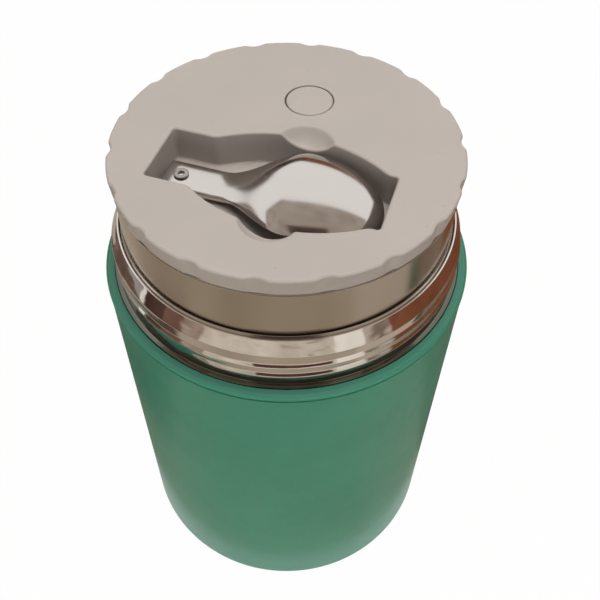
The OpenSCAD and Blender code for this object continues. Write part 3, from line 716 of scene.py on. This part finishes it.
# %% Rivet
RIVET_R, TUBE_R, BORE_R, RIVET_LOW, RIVET_TOP = 2.1, 1.4, 0.8, 160.0, 163.8
rivet = lathe("rivet_skin", [
    (BORE_R, RIVET_LOW, 0.2), (RIVET_R, RIVET_LOW, 0.22), (RIVET_R, HANDLE_LOW, 0.1),
    (TUBE_R, HANDLE_LOW, 0.1), (TUBE_R, PLATE_TOP, 0.05), (RIVET_R, PLATE_TOP, 0.1),
    (RIVET_R, RIVET_TOP, 0.22), (BORE_R, RIVET_TOP, 0.25)], RIVET, 72)
fit(rivet, "spoon", "pin_steel", "spoon_rivet")

# %% [markdown]
# ## Finishes
# A finish is written as arithmetic on sockets. The small class below wraps a socket, and its
# operators add Math nodes. Every finish varies over its piece: brushing follows the way the
# part was turned, enamel has a faint orange peel, mouldings have a spark-eroded grain.


# %% Sockets as numbers
class Wire:
    """A socket that can be added to, multiplied and so on."""

    def __init__(self, tree, socket):
        self.tree, self.socket = tree, socket

    def _math(self, operation, first, second):
        made = self.tree.nodes.new("ShaderNodeMath")
        made.operation = operation
        for slot, value in zip(made.inputs, (first, second)):
            join(self.tree, slot, value)
        return Wire(self.tree, made.outputs[0])

    def __add__(self, other):
        return self._math("ADD", self, other)

    def __sub__(self, other):
        return self._math("SUBTRACT", self, other)

    def __rsub__(self, other):
        return self._math("SUBTRACT", other, self)

    def __mul__(self, other):
        return self._math("MULTIPLY", self, other)

    def above(self, other):
        return self._math("MAXIMUM", self, other)

    __radd__, __rmul__ = __add__, __mul__


def join(tree, slot, value):
    """Links a wire to a socket, or sets the socket's own value."""
    if isinstance(value, Wire):
        tree.links.new(value.socket, slot)
    elif hasattr(value, "__len__") and len(value) == 3 and slot.type == "RGBA":
        slot.default_value = (*value, 1)
    else:
        slot.default_value = value


print("sockets can be added, subtracted, multiplied and compared")

# %% [markdown]
# A finish holds one material. Its recipes need few kinds of node beside the arithmetic: noise,
# a remap from one range to another, a blend of two colours and a bump.


# %% Materials as recipes
class Finish:
    """A material: its Principled shader's own values, given by name, and its other nodes."""

    def __init__(self, name, **own):
        self.material = bpy.data.materials.new(name)
        self.material.use_nodes = True
        self.tree = self.material.node_tree
        self.shader = self.tree.nodes["Principled BSDF"]
        self.place = self.node("TexCoord", out="Object")
        for key, value in own.items():
            join(self.tree, self.shader.inputs[key.replace("_", " ")], value)

    def node(self, kind, sockets=None, out=0, **settings):
        """Any node by its kind: its sockets are set or linked, settings are its own."""
        made = self.tree.nodes.new("ShaderNode" + kind)
        for key, value in settings.items():
            setattr(made, key, value)
        for key, value in (sockets or {}).items():
            join(self.tree, made.inputs[key], value)
        return Wire(self.tree, made.outputs[out])

    def set(self, key, value):
        join(self.tree, self.shader.inputs[key], value)

    def grain(self, scale, detail=2.0, rough=0.5, stretch=(1, 1, 1), at=(0, 0, 0)):
        """Noise from 0 to 1; stretch multiplies each axis before the scale does."""
        place = self.node("Mapping", {"Vector": self.place, "Scale": stretch, "Location": at})
        return self.node("TexNoise", {"Vector": place, "Scale": scale, "Detail": detail,
                                      "Roughness": rough})

    def remap(self, value, low, high, new_low, new_high):
        return self.node("MapRange", {"Value": value, "From Min": low, "From Max": high,
                                      "To Min": new_low, "To Max": new_high})

    def blend(self, share, first, second):
        return self.node("Mix", {0: share, 6: first, 7: second}, out=2, data_type="RGBA")

    def bump(self, height, strength, distance):
        self.set("Normal", self.node("Bump", {"Height": height, "Strength": strength,
                                              "Distance": distance}))


print("finishes are written on Object coordinates, in metres")

# %% [markdown]
# ### Enamel and steel
# The body's enamel is a satin powder coat: a slow change of tone and an orange peel about a
# millimetre across. The ledge by the neck carries a painted shade, a deeper tone for the neck's
# shade on it.


# %% Enamel
def green_paint():
    paint = Finish("green enamel", IOR=1.42, Coat_Weight=0.25, Coat_Roughness=0.22)
    tone = paint.grain(28, 3)
    speck = paint.grain(900, 1, 0.6)
    dark, light = (0.030, 0.246, 0.152), (0.040, 0.290, 0.182)
    skin = paint.blend(paint.remap(tone * 0.8 + speck * 0.2, 0.3, 0.7, 0, 1), dark, light)
    height = paint.node("SeparateXYZ", {"Vector": paint.place}, out=2)
    # Painted shade: the ledge above 129.8 mm is darkened, standing in for the shade that the neck
    # casts on it.
    ledge_shade = paint.remap(height, 0.1298, 0.1304, 0, 1)
    paint.set("Base Color", paint.blend(ledge_shade, skin, (0.042, 0.190, 0.124)))
    smudge = paint.grain(60, 4, 0.65)
    paint.set("Roughness", paint.remap(smudge, 0.3, 0.75, 0.42, 0.52))
    paint.bump(paint.grain(1100, 1) + paint.grain(4200, 1) * 0.3, 0.12, 0.00008)
    return paint.material


finishes = {"green_paint": green_paint()}
print("nodes in the enamel:", len(finishes["green_paint"].node_tree.nodes))

# %% [markdown]
# The steels share one recipe: noise squeezed along the axis leaves fine rings, as a polishing
# belt does on a part that spins, and cloudy smudges change the gloss.


# %% Steel
def steel(name, colour, rough, ring, smudge_size=45, along=(1, 1, 60), spread=0.06, root=None,
          wave=0.0):
    """Bright steel: rings across the noise's squeezed axis, and smudges in its gloss. The pair of
    heights, in metres, for the foot's painted shade gives where the steel clears from a darker
    foot that stands in for the shaded ledge it reflects; wave is the height of the slow unevenness
    that pressing leaves, against that of the rings."""
    metal = Finish(name, Metallic=1.0)
    lines = metal.grain(70, 3, 0.6, along)
    fine = metal.grain(260, 2, 0.6, along)
    smudge = metal.grain(smudge_size, 4, 0.6, at=(3, 1, 2))
    tone = metal.remap(lines * 0.6 + fine * 0.4, 0.3, 0.7, 0.93, 1.04)
    skin = metal.blend(tone - 0.5, [c * 0.86 for c in colour], colour)
    # Painted shade: a duller, darker foot towards the enamel, standing in for the shaded ledge
    # that the foot reflects.
    if root:
        height = metal.node("SeparateXYZ", {"Vector": metal.place}, out=2)
        foot_shade = metal.remap(height + (lines - 0.5) * 0.001, *root, 1, 0)
        skin = metal.blend(foot_shade, skin, (0.105, 0.11, 0.085))
    metal.set("Base Color", skin)
    gloss = metal.remap(smudge, 0.35, 0.75, rough - spread / 2, rough + spread)
    metal.set("Roughness", gloss + (fine - 0.5) * spread)
    relief = lines * 0.6 + fine * 0.4
    if wave:
        relief = relief + metal.grain(95, 1.5, stretch=(1, 1, 1.6), at=(1, 4, 2)) * wave
    metal.bump(relief, ring, 0.00004)
    return metal.material


finishes |= {
    # The polished neck carries a painted shade at its foot, from 130.6 to 136.8 mm.
    "polished_steel": steel("polished steel", (0.80, 0.76, 0.71), 0.065, 0.12, spread=0.04,
                            root=(0.1306, 0.1368), wave=60.0),
    "satin_steel": steel("satin steel", (0.60, 0.54, 0.47), 0.19, 0.10, along=(1, 1, 90),
                         spread=0.05),
    "vessel_steel": steel("vessel steel", (0.66, 0.64, 0.61), 0.24, 0.15),
    "base_steel": steel("base steel", (0.58, 0.57, 0.55), 0.33, 0.1, along=(8, 8, 8)),
    "screw_steel": steel("screw steel", (0.55, 0.55, 0.56), 0.3, 0.05, along=(4, 4, 4)),
    "pin_steel": steel("pin steel", (0.44, 0.41, 0.38), 0.26, 0.05, along=(6, 6, 6)),
    "spoon_steel": steel("spoon steel", (0.70, 0.66, 0.62), 0.15, 0.06, along=(1, 14, 14)),
    "getter_metal": steel("getter metal", (0.22, 0.22, 0.23), 0.6, 0.5, along=(12, 12, 12)),
}
print("metals and paints:", len(finishes))

# %% [markdown]
# ### Plastics and soft parts
# The lid's moulding has the fine matte grain of a spark-eroded mould, about a third of a
# millimetre, with a barely visible cloud in the colour and a few dark specks of dust. Foam has
# open cells, silicone a soft bloom.


# %% Plastics
def plastic(name, colour, rough, grain_size, depth, specks=0.0):
    """Moulded plastic with mould grain; specks is the share of dust dots."""
    mould = Finish(name, IOR=1.48)
    cloud = mould.grain(35, 3)
    fine = mould.grain(1 / grain_size, 2, 0.6)
    tone = mould.blend(mould.remap(cloud, 0.3, 0.7, 0, 1), [c * 0.965 for c in colour],
                       [min(c * 1.02, 1) for c in colour])
    if specks:
        dots = mould.node("TexVoronoi", {"Vector": mould.place, "Scale": 150.0}, out=0)
        dust = mould.remap(dots, 0.02, 0.035, specks, 0)
        tone = mould.blend(dust, tone, [c * 0.35 for c in colour])
    mould.set("Base Color", tone)
    gloss = mould.remap(mould.grain(80, 4, 0.6), 0.3, 0.7, rough - 0.04, rough + 0.05)
    mould.set("Roughness", gloss)
    mould.bump(fine, 0.25, depth)
    return mould.material


def foam():
    cells = Finish("closed-cell foam", Roughness=0.95)
    bubble = cells.node("TexVoronoi", {"Vector": cells.place, "Scale": 900.0}, out=0)
    cells.set("Base Color", cells.blend(cells.remap(bubble, 0, 0.6, 0, 1), (0.6, 0.57, 0.52),
                                        (0.82, 0.8, 0.75)))
    cells.bump(bubble, 0.6, 0.0003)
    return cells.material


finishes |= {
    "grey_plastic": plastic("warm grey moulding", (0.435, 0.385, 0.345), 0.50, 0.00035, 0.00003,
                            specks=0.5),
    "pale_plastic": plastic("pale moulding", (0.68, 0.67, 0.64), 0.42, 0.0005, 0.00002),
    "silicone": plastic("silicone", (0.72, 0.71, 0.68), 0.55, 0.0008, 0.00002),
    "washer_plastic": plastic("nylon", (0.75, 0.75, 0.74), 0.4, 0.0005, 0.00001),
    "foam": foam(),
}
print("finishes:", len(finishes))

# %% [markdown]
# Each piece takes the finish of its slot: a new piece says its slot itself, and a piece of the
# CAD has it from the record.

# %% Finishes on the pieces
slot_of = {part["node"]: part["material_slot"] for part in frame["record"]["subparts"]}
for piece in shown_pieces():
    slot = piece.get("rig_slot") or slot_of.get(piece.get("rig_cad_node"))
    if slot is None:
        continue
    piece.data.materials.clear()
    piece.data.materials.append(finishes[slot])
    if "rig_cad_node" in piece:
        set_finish(piece, slot)

# %% [markdown]
# ## The studio
# A pale floor runs out to a white surround. What the camera and the polished parts see of it is
# white; the light that falls on the jar is set apart from that, at a level where a colour
# renders about as it is written.


# %% Floor and surround
def seen_share(tree):
    """1 for rays from the camera, from gloss and through glass."""
    path = tree.nodes.new("ShaderNodeLightPath")
    camera, gloss, through = (Wire(tree, path.outputs[name]) for name in (
        "Is Camera Ray", "Is Glossy Ray", "Is Transmission Ray"))
    return camera.above(gloss).above(through)


world = bpy.data.worlds.new("white surround")
bpy.context.scene.world = world
world.use_nodes = True
sky = world.node_tree
background = sky.nodes["Background"]
background.inputs["Color"].default_value = (1, 1, 1, 1)
join(sky, background.inputs["Strength"], seen_share(sky) * 0.82 + 0.18)

FLOOR_R, FLOOR_TOP = 30000, -0.3
floor = Shell()
floor.fill([circle(FLOOR_R, count=96)], plain(FLOOR_TOP))
floor = floor.piece("floor", smooth=False)
table = bpy.data.materials.new("pale floor")
table.use_nodes = True
tree = table.node_tree
tree.nodes.clear()
parts = {kind: tree.nodes.new("ShaderNode" + kind)
         for kind in ("BsdfDiffuse", "Emission", "MixShader", "OutputMaterial")}
parts["BsdfDiffuse"].inputs["Color"].default_value = (0.84, 0.77, 0.68, 1)
join(tree, parts["MixShader"].inputs[0], seen_share(tree) * 0.98)
tree.links.new(parts["BsdfDiffuse"].outputs[0], parts["MixShader"].inputs[1])
tree.links.new(parts["Emission"].outputs[0], parts["MixShader"].inputs[2])
tree.links.new(parts["MixShader"].outputs[0], parts["OutputMaterial"].inputs["Surface"])
floor.data.materials.append(table)

# %% [markdown]
# ## Light and camera
# One large soft lamp above and a little to the right gives the slow fall of light across the
# lid, and three weak low ones fill from the front, the left and the back.

# %% Lights
def lamp(name, place, size, power, aim=(0, 0, 0.12)):
    light = bpy.data.lights.new(name, "AREA")
    light.shape, light.size, light.size_y, light.energy = "RECTANGLE", *size, power
    made = bpy.data.objects.new(name, light)
    made.location = place
    made.rotation_euler = (Vector(aim) - made.location).to_track_quat("-Z", "Y").to_euler()
    made.visible_glossy = False
    bpy.context.scene.collection.objects.link(made)
    print(f"{name}: {power} W, {(Vector(aim) - made.location).length:.2f} m away")


lamp("key", (0.10, 0.0, 1.05), (0.6, 0.6), 8.3)
lamp("low front", (0.55, -1.0, 0.20), (0.7, 0.4), 3.0)
lamp("low left", (-0.95, -0.55, 0.20), (0.7, 0.4), 1.9)
lamp("low back", (-0.2, 1.15, 0.20), (0.7, 0.4), 2.0)

# %% [markdown]
# The camera looks down steeply over the near edge, turned a little to the left.

# %% Camera
TURN, PITCH_DOWN = math.radians(18.5), math.radians(51.11)
camera = bpy.data.objects.new("camera", bpy.data.cameras.new("camera"))
bpy.context.scene.collection.objects.link(camera)
camera.location = (0.05236, -0.1565, 0.3082)
look = Vector((-math.sin(TURN) * math.cos(PITCH_DOWN), math.cos(TURN) * math.cos(PITCH_DOWN),
               -math.sin(PITCH_DOWN)))
camera.rotation_euler = look.to_track_quat("-Z", "Y").to_euler()
camera.data.lens, camera.data.sensor_width = 47.0, 36.0
camera.data.shift_x = 0.0225
camera.data.clip_start = 0.01
bpy.context.scene.camera = camera
bpy.context.scene.view_settings.view_transform = "Standard"
print("the camera looks along", [round(part, 3) for part in look])

# %% [markdown]
# ## What the steel sees
# Polished steel has hardly a colour of its own: it looks like what stands round it. So cards
# stand round the jar as in a studio, and only reflections meet them. Cards on the table give
# the upright walls their beige, the standing ones give the tapered lip and the thread's flanks
# their browns, and the card behind the camera stands for whoever holds it.


# %% Forms of the cards
def ring_part(low, high, near, far):
    """Outline of a ring's sector between two angles in degrees and two radii."""
    a = np.radians(np.linspace(low, high, 60))
    out = np.column_stack([np.cos(a), np.sin(a)])
    return np.concatenate([out * near, (out * far)[::-1]])


def flat(low, high, near, far, z):
    """A ring's sector that lies at one height."""
    sheet = Shell()
    sheet.fill([ring_part(low, high, near, far)], plain(z))
    return sheet


def standing(low, high, bottom=2, top=340, radius=600):
    """A wall round the jar's axis, 8 mm thick, between two angles in degrees."""
    loop = ring_part(low, high, radius, radius + 8)
    sheet = Shell()
    sheet.strip([level(loop, z) for z in (bottom, top)])
    return sheet


def surround(low, high, near):
    """The same colour on the table, from radius near outwards, and up the wall behind it."""
    sheet = standing(low, high)
    sheet.fill([ring_part(low, high, near, 598)], plain(1.5))
    return sheet


def facing(middle, aim, width, height):
    """One rectangle that faces a point: its sides lie along the cross product of the line to
    that point with +Z, and across that."""
    middle, aim = np.array(middle, float), np.array(aim, float)
    side = np.cross(aim - middle, [0, 0, 1])
    side /= np.linalg.norm(side)
    rise = np.cross(side, aim - middle)
    rise /= np.linalg.norm(rise)
    sheet = Shell()
    sheet.add([middle + x * width / 2 * side + y * height / 2 * rise
               for x, y in ((-1, -1), (1, -1), (1, 1), (-1, 1))], [[0, 1, 2, 3]])
    return sheet


look_from = np.array(camera.location) * 1000
near_lip = np.array([16.0, -48.0, 140.0])
behind = look_from - near_lip
print("from the near lip to the camera, mm:", round(float(np.linalg.norm(behind)), 1))

# %% [markdown]
# Each card has a form with its sizes, and a dark and a light tone that it drifts between.
# Angles run anticlockwise from +X; the camera stands at about -72 degrees.


# %% Cards
def card(name, sheet, dark, light):
    """A card that glows by itself in a colour that drifts between two tones."""
    made = sheet.piece(name, smooth=False)
    paint = Finish(name)
    glow = paint.blend(paint.remap(paint.grain(7, 2), 0.35, 0.65, 0, 1), dark, light)
    light = paint.node("Emission", {"Color": glow})
    paint.tree.links.new(light.socket, paint.tree.nodes["Material Output"].inputs["Surface"])
    made.data.materials.append(paint.material)
    made.visible_camera = made.visible_diffuse = made.visible_shadow = False


RED_BROWN = (0.16, 0.055, 0.028), (0.23, 0.085, 0.045)
cards = [
    ("table left", flat, (-270, -30, 62, 240, 1.0), (0.35, 0.29, 0.225), (0.45, 0.38, 0.305)),
    ("table right", flat, (-30, 14, 62, 240, 1.0), (0.42, 0.36, 0.29), (0.52, 0.45, 0.38)),
    ("table dim", flat, (14, 90, 62, 240, 1.0), (0.17, 0.125, 0.095), (0.25, 0.19, 0.145)),
    ("green card", flat, (10, 19, 126, 186, 2.0), (0.05, 0.09, 0.058), (0.07, 0.12, 0.08)),
    ("red-brown card", surround, (-15, 104, 230), *RED_BROWN),
    ("red-brown near", flat, (45, 104, 110, 232, 1.8), *RED_BROWN),
    ("mottled card", surround, (-30, -15, 240), (0.16, 0.11, 0.085), (0.60, 0.52, 0.44)),
    ("bright card", surround, (-46, -30, 240), (0.80, 0.74, 0.68), (0.95, 0.90, 0.84)),
    ("beige card", surround, (-116, -46, 240), (0.52, 0.45, 0.38), (0.75, 0.67, 0.58)),
    ("pink-beige card", surround, (-129, -116, 240), (0.24, 0.16, 0.13), (0.46, 0.36, 0.31)),
    ("brown card", surround, (-141, -129, 240), (0.14, 0.07, 0.055), (0.20, 0.11, 0.085)),
    ("dark brown card", surround, (-155, -141, 240), (0.05, 0.026, 0.02), (0.10, 0.055, 0.042)),
    ("window edge", surround, (-158, -155, 240), (0.80, 0.76, 0.72), (0.95, 0.92, 0.88)),
    ("window card", surround, (-178, -158, 240), (0.30, 0.27, 0.26), (0.42, 0.39, 0.38)),
    ("grey card", surround, (-193, -178, 240), (0.26, 0.22, 0.19), (0.34, 0.30, 0.27)),
    ("dark card", surround, (-256, -193, 240), (0.05, 0.032, 0.026), (0.12, 0.08, 0.062)),
    ("brown table", flat, (-193, -141, 242, 352, 1.8), (0.05, 0.028, 0.022), (0.20, 0.13, 0.105)),
    ("brown ring", flat, (-236, -139, 90, 155, 1.6), (0.04, 0.024, 0.018), (0.20, 0.14, 0.11)),
    ("figure card", standing, (-89, -49, 45, 620, 585), (0.07, 0.032, 0.026), (0.12, 0.06, 0.05)),
    ("room card", facing, (look_from + behind * 0.9, near_lip, 1700, 1100), (0.36, 0.31, 0.27),
     (0.50, 0.44, 0.39)),
    ("camera card", facing, (look_from + behind * 0.5, near_lip, 190, 210),
     (0.045, 0.028, 0.022), (0.09, 0.055, 0.045)),
]
for name, form, sizes, dark, light in cards:
    card(name, form(*sizes), dark, light)
print("cards:", len(cards))
